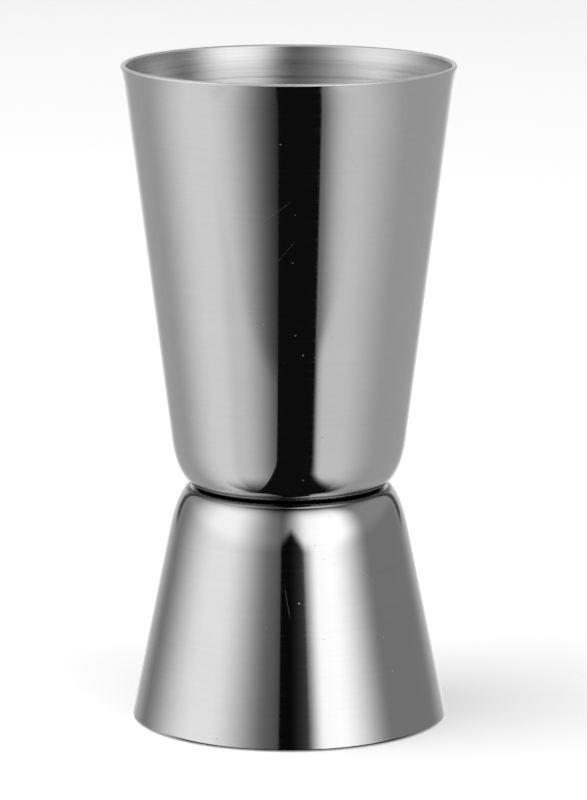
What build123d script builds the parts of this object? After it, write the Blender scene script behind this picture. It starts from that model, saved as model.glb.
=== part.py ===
"""Double-ended bar jigger: two drawn steel cups, spot-welded base to base.

Millimetres, +Z up. The small cup stands mouth down on Z = 0 and serves as the foot.
The large cup stands mouth up on the small cup's base. Both cups share the Z axis.
"""
from math import cos, radians, sin, sqrt
import os

from build123d import *

# Large cup: height from its base to its mouth, and sizes outside the sheet.
# The mouth's radius is at the sharp edge, before it is rounded.
large_height = 54.6
large_mouth_radius = 21.6
large_slant = 7.2
large_corner_radius = 4.75
flare_out = 0.385
flare_length = 1.8

# Small cup, measured the same way
small_height = 30.4
small_mouth_radius = 20.38
small_slant = 11.4
small_corner_radius = 3.5

# Sheet that both cups are drawn from, and how far its cut edge is rounded
wall = 0.65
lip_round = 0.2

# Spot welds in a ring through the two touching bases
weld_count = 4
weld_radius = 1.5
weld_penetration = 0.3

# Dimples that the welding electrodes press into the insides of the bases
mark_margin = 0.6
mark_depth = 0.08
mark_edge_gap = 0.8


def corner_centre(slant, corner_radius, wall_point):
    """Centre of the bend between base and wall, for a wall through the given outside point."""
    lean = radians(slant)
    rise = wall_point.Y - corner_radius
    reach = (corner_radius + rise * sin(lean)) / cos(lean)
    return Vector(wall_point.X - reach, corner_radius)


def flared_lip(height, mouth_radius, slant):
    """Where the straight wall ends below a flared lip, and the lip's inner edge."""
    lean = radians(slant)
    along = Vector(sin(lean), cos(lean))
    outward = Vector(cos(lean), -sin(lean))
    step_out = flare_out * cos(lean)
    wall_top = Vector(mouth_radius, height) - along * flare_length - outward * step_out
    bend_radius = (flare_length**2 + step_out**2) / (2 * step_out)
    bend_centre = wall_top + outward * bend_radius
    inner_reach = sqrt((bend_radius + wall) ** 2 - (height - bend_centre.Y) ** 2)
    return wall_top, Vector(bend_centre.X - inner_reach, height)


def cup(height, mouth_radius, slant, corner_radius, flared):
    """Upright cup about Z with the outside of its base at Z = 0."""
    lean = radians(slant)
    along = Vector(sin(lean), cos(lean))
    through_wall = Vector(-cos(lean), sin(lean)) * wall
    lip = Vector(mouth_radius, height)
    if flared:
        wall_top, inner_lip = flared_lip(height, mouth_radius, slant)
    else:
        wall_top = lip
        inner_lip = lip - Vector(wall / cos(lean), 0)
    bend = corner_centre(slant, corner_radius, wall_top)
    wall_foot = bend + Vector(cos(lean), -sin(lean)) * corner_radius
    base_edge = Vector(bend.X, 0)
    inner_base_edge = Vector(bend.X, wall)

    with BuildSketch() as section:
        with BuildLine():
            Polyline((0, wall), (0, 0), base_edge)
            TangentArc(base_edge, wall_foot, tangent=(1, 0))
            Line(wall_foot, wall_top)
            if flared:
                TangentArc(wall_top, lip, tangent=along)
                Line(lip, inner_lip)
                TangentArc(wall_top + through_wall, inner_lip, tangent=along)
                Line(wall_top + through_wall, wall_foot + through_wall)
            else:
                Polyline(lip, inner_lip, wall_foot + through_wall)
            TangentArc(inner_base_edge, wall_foot + through_wall, tangent=(1, 0))
            Line(inner_base_edge, (0, wall))
        make_face()
        fillet(section.vertices().group_by(Axis.Y)[-1], lip_round)
    return revolve(Plane.XZ * section.sketch, Axis.Z)


def base_flat_radius(height, mouth_radius, slant, corner_radius, flared):
    """Radius of the flat part of a cup's base, inside the bend."""
    wall_point = Vector(mouth_radius, height)
    if flared:
        wall_point = flared_lip(height, mouth_radius, slant)[0]
    return corner_centre(slant, corner_radius, wall_point).X


def weld_places(ring_radius):
    """Middle of each spot weld, on the plane where the two bases touch."""
    turns = [360 * index / weld_count for index in range(weld_count)]
    return [Rot(0, 0, turn + 180 / weld_count) * Pos(ring_radius, 0, 0) for turn in turns]


def weld_nugget():
    """Metal fused across the joint, half of it in each base."""
    return Cylinder(weld_radius, 2 * weld_penetration)


def electrode_mark():
    """Shallow round dimple that a welding electrode presses into the inside of a base."""
    middle = wall - mark_depth / 2
    return Pos(0, 0, middle) * Cylinder(mark_radius, mark_depth)


mark_radius = weld_radius + mark_margin
large = (large_height, large_mouth_radius, large_slant, large_corner_radius, True)
small = (small_height, small_mouth_radius, small_slant, small_corner_radius, False)
shared_flat = min(base_flat_radius(*large), base_flat_radius(*small))
places = weld_places(shared_flat - mark_radius - mark_edge_gap)

joint_plane = Pos(0, 0, small_height)
turned_over = Rot(180, 0, 0)

large_cup = cup(*large)
small_cup = turned_over * cup(*small)
for place in places:
    large_cup -= place * weld_nugget()
    large_cup -= place * electrode_mark()
    small_cup -= place * weld_nugget()
    small_cup -= place * turned_over * electrode_mark()

os.makedirs("parts", exist_ok=True)
export_step(joint_plane * large_cup, "parts/large_cup.step")
export_step(joint_plane * small_cup, "parts/small_cup.step")
for number, place in enumerate(places, start=1):
    export_step(joint_plane * place * weld_nugget(), f"parts/spot_weld_{number}.step")
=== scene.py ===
import math

import bmesh
import bpy
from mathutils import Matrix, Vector
from mathutils.geometry import interpolate_bezier


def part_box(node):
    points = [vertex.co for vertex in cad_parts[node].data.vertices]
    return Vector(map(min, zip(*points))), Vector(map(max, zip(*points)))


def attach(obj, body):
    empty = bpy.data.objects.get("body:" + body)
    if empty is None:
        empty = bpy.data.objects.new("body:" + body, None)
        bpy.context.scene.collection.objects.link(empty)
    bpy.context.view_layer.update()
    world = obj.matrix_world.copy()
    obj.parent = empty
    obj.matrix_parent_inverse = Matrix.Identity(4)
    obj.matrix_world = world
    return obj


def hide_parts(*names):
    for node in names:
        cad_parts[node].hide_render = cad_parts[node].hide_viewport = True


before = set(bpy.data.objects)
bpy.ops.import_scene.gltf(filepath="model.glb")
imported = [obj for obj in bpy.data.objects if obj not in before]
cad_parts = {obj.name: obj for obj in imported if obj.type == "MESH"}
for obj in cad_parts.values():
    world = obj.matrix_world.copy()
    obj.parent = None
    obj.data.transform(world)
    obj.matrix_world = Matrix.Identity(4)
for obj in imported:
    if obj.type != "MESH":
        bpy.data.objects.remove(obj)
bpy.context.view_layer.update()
print("frame loaded:", ", ".join(sorted(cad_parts)))


# The camera looks slightly down on the mouth, with its aim near the middle of the jigger
cameraSetup = {
    "distance": 0.6179,
    "height": 0.1596,
    "aimRight": 0.00059,
    "aimHeight": 0.04145,
    "focalLength": 219.8,
    "sensorLongSide": 36.0,
}


def placeCamera():
    data = bpy.data.cameras.new("studioCamera")
    data.sensor_width = cameraSetup["sensorLongSide"]
    data.lens = cameraSetup["focalLength"]
    data.clip_start = 0.01
    data.clip_end = 20.0
    camera = bpy.data.objects.new("studioCamera", data)
    bpy.context.scene.collection.objects.link(camera)
    camera.location = (0, -cameraSetup["distance"], cameraSetup["height"])
    aim = Vector((cameraSetup["aimRight"], 0, cameraSetup["aimHeight"]))
    camera.rotation_euler = (aim - camera.location).to_track_quat("-Z", "Y").to_euler()
    bpy.context.scene.camera = camera


# A node socket that Python arithmetic can be done on
class Wire:
    def __init__(self, graph, socket):
        self.graph = graph
        self.socket = socket

    def math(self, operation, *others, first=None):
        values = [self if first is None else first, *others]
        return self.graph.node("ShaderNodeMath", {"operation": operation}, dict(enumerate(values)))

    def __add__(self, other):
        return self.math("ADD", other)

    def __sub__(self, other):
        return self.math("SUBTRACT", other)

    def __mul__(self, other):
        return self.math("MULTIPLY", other)

    def __radd__(self, other):
        return self.math("ADD", self, first=other)

    def __rsub__(self, other):
        return self.math("SUBTRACT", self, first=other)

    def __rmul__(self, other):
        return self.math("MULTIPLY", self, first=other)


# A node tree; every node in this file comes from its node method
class Graph:
    def __init__(self, tree):
        self.tree = tree
        self.tree.nodes.clear()

    def node(self, kind, settings, inputs, output=0):
        made = self.tree.nodes.new(kind)
        for name, value in settings.items():
            setattr(made, name, value)
        for key, value in inputs.items():
            socket = made.inputs[key]
            if isinstance(value, Wire):
                self.tree.links.new(value.socket, socket)
            else:
                socket.default_value = value
        if output is None or not made.outputs:
            return made
        return Wire(self, made.outputs[output])

    def axes(self, vector):
        split = self.node("ShaderNodeSeparateXYZ", {}, {"Vector": vector}, None)
        return [Wire(self, socket) for socket in split.outputs]

    def vector(self, operation, first, second, output="Vector"):
        return self.node("ShaderNodeVectorMath", {"operation": operation}, {0: first, 1: second}, output)

    def place(self):
        return self.node("ShaderNodeTexCoord", {}, {}, "Object")

    def mapped(self, vector, scale):
        return self.node("ShaderNodeMapping", {}, {"Vector": vector, "Scale": scale})

    def bump(self, height):
        return self.node("ShaderNodeBump", {}, {"Strength": 1.0, "Distance": 1.0, "Height": height})

    def noise(self, vector, scale, detail=2.0, roughness=0.5):
        inputs = {"Vector": vector, "Scale": scale, "Detail": detail, "Roughness": roughness}
        return self.node("ShaderNodeTexNoise", {}, inputs, "Fac")

    def cells(self, vector, scale, output):
        return self.node("ShaderNodeTexVoronoi", {}, {"Vector": vector, "Scale": scale}, output)

    def smooth(self, value, low, high):
        inputs = {"Value": value, "From Min": low, "From Max": high}
        return self.node("ShaderNodeMapRange", {"interpolation_type": "SMOOTHSTEP"}, inputs)


# The studio that the steel mirrors, in degrees and with 1 as plain white. Azimuth 0 is towards
# the camera and rises to the right. Two soft boxes stand either side of the camera, in front of
# a backdrop; each pair of angles is where a soft edge starts and ends.
studio = {
    "ceilingFrom": (54, 70),
    "ceilingDims": 0.75,
    "darkest": 0.004,
    "boxTops": (30, 76),
    "tableEnds": (-12, -5),
    # the boxes' full width starts lowest at their middles, and highest over the gap between them
    "upperFoot": 12,
    "gapFoot": 24,
    "gapMiddle": 2,
    "gapSlope": 0.9,
    "upperSoft": 5,
    # the backdrop's dark upright edges, this far round on both sides
    "backdropEdge": 146,
    "backdropEdgeSoft": (2, 7),
    "backdropEdgeFrom": (-5, -1),
    "backdropEdgeDims": 0.8,
}
# the same boxes at three heights: as the table shows them, level with the eye and above it
tableLight = {
    "fill": 0.47, "frontLeft": (0, 50), "frontRight": (14, 50),
    "leftBox": 0.5, "leftRise": (-125, -75), "leftFall": (-62, -17),
    "rightBox": 0.33, "rightRise": (18, 42), "rightFall": (50, 100),
    "backdrop": 0.53, "backdropRise": (150, 176),
}
eyeLight = {
    "fill": 0.26, "frontLeft": (-14, 40), "frontRight": (0, 45),
    "leftBox": 0.95, "leftRise": (-135, -75), "leftFall": (-62, -17),
    "rightBox": 1.4, "rightRise": (13, 27), "rightFall": (37, 83),
    "backdrop": 0.75, "backdropRise": (130, 185),
}
upperLight = {
    "fill": 0.35, "frontLeft": (-14, 30), "frontRight": (0, 45),
    "leftBox": 1.1, "leftRise": (-135, -75), "leftFall": (-62, -17),
    "rightBox": 1.4, "rightRise": (-9, 22), "rightFall": (50, 84),
    "backdrop": 0.1, "backdropRise": (130, 185),
}
cardEdge = (-8.2, -7.0)  # the sharp side of the black card that stands between the boxes


def blendTones(graph, share, lower, upper):
    return graph.node("ShaderNodeMix", {"data_type": "RGBA"}, {0: share, 6: lower, 7: upper}, 2)


def grey(level):
    return (level, level, level, 1.0)


def bandLight(graph, azimuth, band, card=None):
    left = graph.smooth(azimuth, *band["leftRise"]) * (1 - graph.smooth(azimuth, *band["leftFall"]))
    right = graph.smooth(azimuth, *band["rightRise"]) * (1 - graph.smooth(azimuth, *band["rightFall"]))
    back = graph.smooth(azimuth.math("ABSOLUTE"), *band["backdropRise"])
    onLeft = graph.smooth(0.0 - azimuth, *band["frontLeft"])
    if card:
        onLeft = onLeft * (1 - graph.smooth(azimuth, *card))
    fill = onLeft.math("MAXIMUM", graph.smooth(azimuth, *band["frontRight"]))
    light = fill * band["fill"] + left * band["leftBox"] + right * band["rightBox"]
    return light + back * band["backdrop"]


def changeOver(share, lower, upper):
    return (1 - share) * lower + share * upper


def lightStudio():
    world = bpy.data.worlds.new("studioLight")
    world.use_nodes = True
    bpy.context.scene.world = world
    graph = Graph(world.node_tree)
    direction = graph.node("ShaderNodeTexCoord", {}, {}, "Generated")
    sideways, away, up = graph.axes(direction)
    azimuth = sideways.math("ARCTAN2", 0.0 - away) * (180 / math.pi)
    climb = up.math("ARCSINE") * (180 / math.pi)

    table = bandLight(graph, azimuth, tableLight)
    eye = bandLight(graph, azimuth, eyeLight, cardEdge)
    upper = bandLight(graph, azimuth, upperLight) * (1 - graph.smooth(climb, *studio["boxTops"]))
    fromGap = (azimuth - studio["gapMiddle"]).math("ABSOLUTE")
    foot = (studio["gapFoot"] - fromGap * studio["gapSlope"]).math("MAXIMUM", studio["upperFoot"])
    light = changeOver(graph.smooth(climb, *studio["tableEnds"]), table, eye)
    light = changeOver(graph.smooth(climb - foot, -studio["upperSoft"], studio["upperSoft"]), light, upper)

    fromEdge = (azimuth.math("ABSOLUTE") - studio["backdropEdge"]).math("ABSOLUTE")
    edge = 1 - graph.smooth(fromEdge, *studio["backdropEdgeSoft"])
    edge = edge * graph.smooth(climb, *studio["backdropEdgeFrom"])
    light = light * (1 - edge * studio["backdropEdgeDims"])
    light = light * (1 - graph.smooth(climb, *studio["ceilingFrom"]) * studio["ceilingDims"])
    lit = graph.node("ShaderNodeBackground", {}, {"Color": light + studio["darkest"], "Strength": 1.0})
    graph.node("ShaderNodeOutputWorld", {}, {"Surface": lit})


# A soft box overhead lights the table only; the steel mirrors the studio instead
overheadBox = {"power": 9.0, "size": 0.9, "place": (-0.25, -0.1, 1.3)}


def hangOverheadBox():
    data = bpy.data.lights.new("overheadBox", "AREA")
    data.energy = overheadBox["power"]
    data.size = overheadBox["size"]
    box = bpy.data.objects.new("overheadBox", data)
    bpy.context.scene.collection.objects.link(box)
    box.location = overheadBox["place"]
    box.rotation_euler = (Vector((0, 0, 0)) - box.location).to_track_quat("-Z", "Y").to_euler()
    box.visible_glossy = False
    box.visible_camera = False


# The glossy table top as the steel mirrors it: a pale board up to its front edge, the dark
# gap between the soft boxes lying along it, and the shade close round the foot. It gives its
# own light, and nothing but reflections shows it
tableTop = {
    "height": 0.0002,
    "size": 1.5,
    "boardFront": (0.108, 0.122),
    "boardSides": (45, 60),
    "boardLevel": 0.82,
    "boardLeft": (-2, 45),
    "boardRight": (15, 31),
    "gapLevel": 0.006,
    # half width at the axis, how it widens with distance, and the least it is
    "gapLeft": (0.0096, 0.083, 0.0155),
    "gapRight": (0.001, 0.42, 0.0235),
    "leftSoft": 0.0006,
    "rightSoft": 0.005,
    "frontOnly": (0.010, 0.017),
    "footShade": (0.024, 0.055),
    "footLevel": 0.035,
}


def makeTableTop():
    bm = bmesh.new()
    bmesh.ops.create_grid(bm, x_segments=1, y_segments=1, size=tableTop["size"])
    bmesh.ops.translate(bm, verts=bm.verts, vec=(0, 0, tableTop["height"]))
    table = addObject("tableTop", bm)
    graph = newMaterial(table.data, "tableTop")
    where = graph.place()
    sideways, away, up = graph.axes(where)
    towards = 0.0 - away
    azimuth = sideways.math("ARCTAN2", towards) * (180 / math.pi)
    front = graph.smooth(towards, *tableTop["frontOnly"])

    board = 1 - graph.smooth(towards, *tableTop["boardFront"])
    sides = 1 - graph.smooth(azimuth.math("ABSOLUTE"), *tableTop["boardSides"])
    half, spread, least = tableTop["gapLeft"]
    leftOf = 0.0 - sideways - (towards * spread + half).math("MAXIMUM", least)
    half, spread, least = tableTop["gapRight"]
    rightOf = sideways - (towards * spread + half).math("MAXIMUM", least)
    left = graph.smooth(leftOf, 0.0, tableTop["leftSoft"])
    right = graph.smooth(rightOf, -tableTop["rightSoft"], tableTop["rightSoft"])
    gap = 1 - left.math("MAXIMUM", right)
    reach = (sideways * sideways + away * away).math("SQRT")
    foot = 1 - graph.smooth(reach, *tableTop["footShade"])

    pale = graph.smooth(0.0 - azimuth, *tableTop["boardLeft"])
    pale = pale.math("MAXIMUM", graph.smooth(azimuth, *tableTop["boardRight"]))
    light = changeOver(foot, pale * tableTop["boardLevel"], tableTop["footLevel"])
    light = changeOver(gap, light, tableTop["gapLevel"])
    shown = (board * sides).math("MAXIMUM", gap).math("MAXIMUM", foot) * front
    lit = graph.node("ShaderNodeEmission", {}, {"Color": light, "Strength": 1.0})
    clear = graph.node("ShaderNodeBsdfTransparent", {}, {})
    mixed = graph.node("ShaderNodeMixShader", {}, {0: shown, 1: clear, 2: lit})
    graph.node("ShaderNodeOutputMaterial", {}, {"Surface": mixed})
    for ray in ("camera", "diffuse", "shadow"):
        setattr(table, "visible_" + ray, False)


# Table and backdrop in one sweep
sweep = {
    "flatRadius": 1.6,
    "bendRadius": 0.8,
    "wallHeight": 1.2,
    "rings": 24,
    "colour": 0.9,
    "glow": 0.31,  # light that the white paper passes on, which keeps its far parts pale
}


def makeSweep():
    bm = bmesh.new()
    flat, bend = sweep["flatRadius"], sweep["bendRadius"]
    places = [(0.0, 0.0), (flat, 0.0)]
    for step in range(1, sweep["rings"] + 1):
        angle = math.pi / 2 * step / sweep["rings"]
        places.append((flat + bend * math.sin(angle), bend - bend * math.cos(angle)))
    places.append((flat + bend, bend + sweep["wallHeight"]))
    drawOutline(bm, places)
    spinOutline(bm, 96)
    backdrop = addObject("studioSweep", bm)
    graph = newMaterial(backdrop.data, "paleSweep")
    where = graph.place()
    mottle = graph.noise(where, 9.0, 4.0)
    colour = blendTones(graph, mottle, grey(sweep["colour"] - 0.01), grey(sweep["colour"] + 0.01))
    paper = graph.node("ShaderNodeBsdfDiffuse", {}, {"Color": colour})
    glow = graph.node("ShaderNodeEmission", {}, {"Color": colour, "Strength": sweep["glow"]})
    lit = graph.node("ShaderNodeAddShader", {}, {0: paper, 1: glow})
    graph.node("ShaderNodeOutputMaterial", {}, {"Surface": lit})
    for ray in ("glossy", "diffuse", "shadow", "transmission"):
        setattr(backdrop, "visible_" + ray, False)


def addObject(name, bm):
    mesh = bpy.data.meshes.new(name)
    bm.to_mesh(mesh)
    bm.free()
    made = bpy.data.objects.new(name, mesh)
    bpy.context.scene.collection.objects.link(made)
    return made


def newMaterial(mesh, name):
    material = bpy.data.materials.new(name)
    material.use_nodes = True
    mesh.materials.append(material)
    return Graph(material.node_tree)


def drawOutline(bm, places):
    made = [bm.verts.new((place[0], 0, place[1])) for place in places]
    for first, second in zip(made, made[1:]):
        bm.edges.new((first, second))
    return made


def spinOutline(bm, turns):
    everything = bm.verts[:] + bm.edges[:]
    bmesh.ops.spin(
        bm, geom=everything, cent=(0, 0, 0), axis=(0, 0, 1), angle=2 * math.pi, steps=turns, use_merge=True
    )
    bmesh.ops.remove_doubles(bm, verts=bm.verts, dist=1e-6)
    bmesh.ops.recalc_face_normals(bm, faces=bm.faces)
    for face in bm.faces:
        face.smooth = True


# The cups. Sizes are in metres, along the outside of the sheet, with the mouth upwards
sheet = {
    "wall": 0.00065,
    "lipRound": 0.0003,
    "lipSteps": 6,
    "lipHold": 0.0006,  # a loop this far from the lip keeps the shading of the wall straight
}
largeCup = {
    "node": "large_cup",
    "mouthRadius": 0.0215,
    "slant": 7.2,
    "cornerUp": 0.0062,  # where the bend starts, measured up the wall from the sharp corner
    "cornerIn": 0.0031,  # and where it ends, in along the base
    "flareOut": 0.00028,
    "flareLength": 0.0035,
    # share of the painted shade band on the shoulder below the joint
    "shoulderShade": 0.0,
    "mouthUp": True,
}
smallCup = {
    "node": "small_cup",
    "mouthRadius": 0.02038,
    "slant": 11.4,
    "cornerUp": 0.0059,
    "cornerIn": 0.0016,
    "flareOut": 0.0,
    "flareLength": 0.0,
    # share of the painted shade band on the shoulder below the joint
    "shoulderShade": 0.85,
    "mouthUp": False,
}
cornerPull = (0.66, 0.59)  # how far the curve is drawn towards the sharp corner, wall then base
spinning = {"turns": 240, "cornerSteps": 28, "flareSteps": 8}
electrodeMark = {"radius": 0.0021, "depth": 0.00008, "edge": 0.00035, "ringStep": 0.0002}


def lipOutside(cup, height):
    # A straight wall ends in a holding loop and the lip; a flared one in an arc that leans away
    lip = Vector((cup["mouthRadius"], height))
    lean = math.radians(cup["slant"])
    outward = Vector((math.cos(lean), -math.sin(lean)))
    along = Vector((math.sin(lean), math.cos(lean)))
    if not cup["flareOut"]:
        return [lip - along * sheet["lipHold"], lip]
    stepOut = cup["flareOut"] * math.cos(lean)
    radius = (cup["flareLength"] ** 2 + stepOut**2) / (2 * stepOut)
    start = lip - along * cup["flareLength"] - outward * stepOut
    sweepAngle = math.asin(cup["flareLength"] / radius)
    return [
        start + outward * radius * (1 - math.cos(turn)) + along * radius * math.sin(turn)
        for turn in (sweepAngle * k / spinning["flareSteps"] for k in range(spinning["flareSteps"] + 1))
    ]


def cupOutside(cup, height):
    # Half section from the middle of the base, round the corner and up to the lip
    lip = lipOutside(cup, height)
    lean = math.radians(cup["slant"])
    along = Vector((math.sin(lean), math.cos(lean)))
    sharp = lip[0] - along * (lip[0].y / along.y)
    wallEnd = sharp + along * cup["cornerUp"]
    baseEnd = sharp - Vector((cup["cornerIn"], 0))
    corner = interpolate_bezier(
        baseEnd, baseEnd.lerp(sharp, cornerPull[1]), wallEnd.lerp(sharp, cornerPull[0]), wallEnd,
        spinning["cornerSteps"],
    )
    return [Vector((0, 0)), *(point.xy for point in corner), *lip]


def cupInside(outside, height):
    # The same line one sheet thickness further in, cut level at the lip
    shifted = []
    for k, place in enumerate(outside):
        direction = outside[min(k + 1, len(outside) - 1)] - outside[max(k - 1, 0)]
        direction.normalize()
        shifted.append(place + Vector((-direction.y, direction.x)) * sheet["wall"])
    while shifted[-2].y > height:
        shifted.pop()
    last, before = shifted[-1], shifted[-2]
    shifted[-1] = before.lerp(last, (height - before.y) / (last.y - before.y))
    return shifted


def floorRings(weldRing):
    # Close rings where the electrodes pressed, so the marks come out round
    reach = electrodeMark["radius"] + electrodeMark["ringStep"]
    count = math.ceil(2 * reach / electrodeMark["ringStep"])
    return [Vector((weldRing - reach + 2 * reach * k / count, sheet["wall"])) for k in range(count + 1)]


def roundCorner(bm, corner):
    ways = [edge.other_vert(corner).co - corner.co for edge in corner.link_edges]
    bmesh.ops.bevel(
        bm,
        geom=[corner],
        offset=sheet["lipRound"] / math.tan(ways[0].angle(ways[1]) / 2),
        offset_type="OFFSET",
        segments=sheet["lipSteps"],
        profile=0.5,
        affect="VERTICES",
        material=-1,
    )


def pressMarks(bm, floorHeight, facing, centres):
    for vert in bm.verts:
        if abs(vert.co.z - floorHeight) > 1e-6:
            continue
        for centre in centres:
            away = math.hypot(vert.co.x - centre[0], vert.co.y - centre[1])
            inwards = (electrodeMark["radius"] - away) / electrodeMark["edge"]
            share = min(max(inwards, 0.0), 1.0)
            vert.co.z -= facing * electrodeMark["depth"] * share * share * (3 - 2 * share)


def makeCup(cup, weldCentres):
    low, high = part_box(cup["node"])
    height = high.z - low.z
    outside = cupOutside(cup, height)
    inside = cupInside(outside, height)
    inside[1:1] = floorRings(Vector(weldCentres[0]).length)
    bm = bmesh.new()
    drawn = drawOutline(bm, outside + inside[::-1])
    for corner in (drawn[len(outside) - 1], drawn[len(outside)]):
        roundCorner(bm, corner)
    spinOutline(bm, spinning["turns"])
    facing = 1 if cup["mouthUp"] else -1
    base = low.z if cup["mouthUp"] else high.z
    for vert in bm.verts:
        vert.co.z = base + facing * vert.co.z
    bmesh.ops.recalc_face_normals(bm, faces=bm.faces)
    pressMarks(bm, base + facing * sheet["wall"], facing, weldCentres)
    bm.normal_update()
    mouth = base + facing * height
    for face in bm.faces:
        middle = face.calc_center_median()
        outwards = Vector((middle.x, middle.y, 0)).normalized()
        facesIn = facing * face.normal.z - face.normal.dot(outwards) > 0
        face.material_index = 1 if facesIn else 0
        if abs(middle.z - mouth) < sheet["lipRound"] * 0.9:
            face.material_index = 2
    words = cup["node"].split("_")
    return addObject(words[0] + words[1].title() + "Shell", bm)


def tinted(colour, factor):
    return (*(part * factor for part in colour), 1.0)


def mottled(graph, share, colour, contrast):
    return blendTones(graph, share, tinted(colour, 1 - contrast), tinted(colour, 1 + contrast))


def shade(graph, values):
    made = graph.node("ShaderNodeBsdfPrincipled", {}, values)
    graph.node("ShaderNodeOutputMaterial", {}, {"Surface": made})


# Polished outside, with buffing lines, pits and hairlines, and painted shade where the cups meet
polished = {
    "colour": (0.60, 0.60, 0.60),
    "cloudiness": 0.07,
    "roughness": 0.03,
    "buffing": 0.05,  # how much rougher the buffing lines are
    "linePitch": (60, 60, 2600),
    "wave": 0.000004,
    "speckScale": 560,
    "speckSize": 0.085,
    "speckPick": 0.34,
    "speckRoughness": 0.35,
    "scratchScale": 190,
    "scratchWidth": 0.000009,
    "scratchPick": 0.76,
    "scratchRoughness": 0.3,
    "paintedSeamShadeTone": 0.1,  # painted shade in the crevice where the cups meet, and a band of painted shade on the lower shoulder
    "creviceShadeRise": (0.00001, 0.00005),
    "creviceShadeReach": (0.0122, 0.0127),
    "shoulderShadeStart": (0.000005, 0.00003),
    "shoulderShadeEnd": (0.00012, 0.00048),
}


def polishedSteel(graph, jointHeight, shoulderShadeShare):
    where = graph.place()
    lines = graph.noise(graph.mapped(where, polished["linePitch"]), 1.0, 3.0)
    clouds = graph.noise(where, 180.0, 4.0)
    waves = graph.noise(where, 60.0, 1.0)

    # Pits left by use, one in the middle of each picked cell
    scale, size, pick = polished["speckScale"], polished["speckSize"], polished["speckPick"]
    speck = 1 - graph.smooth(graph.cells(where, scale, "Distance"), size * 0.5, size)
    speck = speck * graph.smooth(graph.cells(where, scale, "Color"), pick, pick + 0.02)

    # Hairline scratches, a straight one at a random tilt through the middle of each picked cell
    scale, width, pick = polished["scratchScale"], polished["scratchWidth"], polished["scratchPick"]
    chance = graph.cells(where, scale, "Color")
    offset = graph.vector("SUBTRACT", where, graph.cells(where, scale, "Position"))
    tilt = graph.vector("SUBTRACT", chance, (0.5, 0.5, 0.5))
    across = graph.vector("DOT_PRODUCT", offset, tilt, "Value").math("ABSOLUTE")
    scratch = 1 - graph.smooth(across, width * 0.5, width)
    scratch = scratch * (1 - graph.smooth(graph.cells(where, scale, "Distance"), 0.25, 0.5))
    scratch = scratch * graph.smooth(graph.axes(chance)[0], pick, pick + 0.02)

    rough = graph.smooth(lines, 0.35, 0.7) * polished["buffing"] + polished["roughness"]
    rough = rough + speck * polished["speckRoughness"] + scratch * polished["scratchRoughness"]
    steel = mottled(graph, (clouds + lines) * 0.5, polished["colour"], polished["cloudiness"])

    # Painted shade in the crevice where the cups meet, and a band of painted shade on the lower shoulder,
    # standing in for the dark underside of the large cup that it mirrors
    sideways, away, up = graph.axes(where)
    reach = (sideways * sideways + away * away).math("SQRT")
    fromJoint = (up - jointHeight).math("ABSOLUTE")
    creviceShade = 1 - graph.smooth(fromJoint, *polished["creviceShadeRise"])
    creviceShade = creviceShade * (1 - graph.smooth(reach, *polished["creviceShadeReach"]))
    shoulderShade = graph.smooth(fromJoint, *polished["shoulderShadeStart"])
    shoulderShade = shoulderShade * (1 - graph.smooth(fromJoint, *polished["shoulderShadeEnd"]))
    paintedSeamShade = creviceShade.math("MAXIMUM", shoulderShade * shoulderShadeShare)
    colour = blendTones(graph, paintedSeamShade, steel, tinted(polished["colour"], polished["paintedSeamShadeTone"]))
    bump = graph.bump(waves * polished["wave"])
    shade(graph, {"Base Color": colour, "Metallic": 1.0, "Roughness": rough, "Normal": bump})


# Turned inside
turned = {
    "colour": (0.63, 0.63, 0.63),
    "contrast": 0.2,
    "roughness": 0.29,
    "anisotropic": 0.85,
    "linePitch": (22, 22, 2300),
    "bandPitch": (10, 10, 420),
    "depth": 0.000007,
}


def turnedSteel(graph):
    where = graph.place()
    fine = graph.noise(graph.mapped(where, turned["linePitch"]), 1.0, 3.0)
    broad = graph.noise(graph.mapped(where, turned["bandPitch"]), 1.0, 2.0)
    lines = graph.smooth(fine * 0.7 + broad * 0.3, 0.3, 0.7)
    values = {
        "Base Color": mottled(graph, lines, turned["colour"], turned["contrast"]),
        "Metallic": 1.0,
        "Roughness": lines * 0.1 + (turned["roughness"] - 0.05),
        "Anisotropic": turned["anisotropic"],
        "Anisotropic Rotation": 0.25,
        "Normal": graph.bump(lines * turned["depth"]),
    }
    shade(graph, values)


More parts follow.
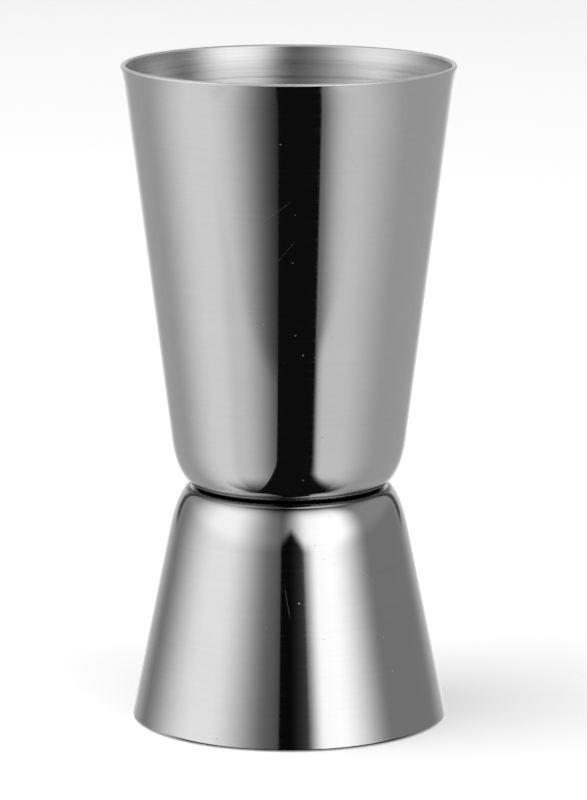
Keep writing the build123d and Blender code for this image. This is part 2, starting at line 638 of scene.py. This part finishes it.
# Trimmed lip, cut and tumbled
trimmed = {
    "colour": (0.70, 0.70, 0.70),
    "metallic": 0.5,
    "roughness": 0.32,
}


def trimmedEdge(graph):
    where = graph.place()
    nicks = graph.noise(where, 900.0, 3.0)
    rough = nicks * 0.12 + (trimmed["roughness"] - 0.06)
    colour = mottled(graph, nicks, trimmed["colour"], 0.07)
    shade(graph, {"Base Color": colour, "Metallic": trimmed["metallic"], "Roughness": rough})


# Weld metal between the two bases
weldMetal = {
    "dark": (0.20, 0.17, 0.15),
    "light": (0.46, 0.44, 0.43),
    "roughness": 0.45,
}


def weldNugget(graph):
    where = graph.place()
    grain = graph.noise(where, 2600.0, 5.0, 0.6)
    scale = graph.noise(where, 700.0, 2.0)
    bump = graph.bump(grain * 0.00002)
    colour = blendTones(graph, scale, (*weldMetal["dark"], 1.0), (*weldMetal["light"], 1.0))
    rough = grain * 0.2 + (weldMetal["roughness"] - 0.1)
    shade(graph, {"Base Color": colour, "Metallic": 1.0, "Roughness": rough, "Normal": bump})


placeCamera()
lightStudio()
hangOverheadBox()
makeTableTop()
makeSweep()
print("studio ready")

weldNames = [name for name in sorted(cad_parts) if name.startswith("spot_weld")]
weldCentres = []
for name in weldNames:
    low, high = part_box(name)
    weldCentres.append(((low.x + high.x) / 2, (low.y + high.y) / 2))

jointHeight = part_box("large_cup")[0].z
for cup in (largeCup, smallCup):
    shell = makeCup(cup, weldCentres)
    polishedSteel(newMaterial(shell.data, shell.name + "Outside"), jointHeight, cup["shoulderShade"])
    turnedSteel(newMaterial(shell.data, shell.name + "Inside"))
    trimmedEdge(newMaterial(shell.data, shell.name + "Edge"))
    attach(shell, "root")
    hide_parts(cup["node"])
    print("spun", shell.name, len(shell.data.polygons), "faces")

nuggets = bpy.data.materials.new("weldNugget")
nuggets.use_nodes = True
weldNugget(Graph(nuggets.node_tree))
for name in weldNames:
    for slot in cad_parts[name].material_slots:
        slot.material = nuggets
print("weld nuggets finished:", len(weldNames))

bpy.context.scene.view_settings.view_transform = "Standard"
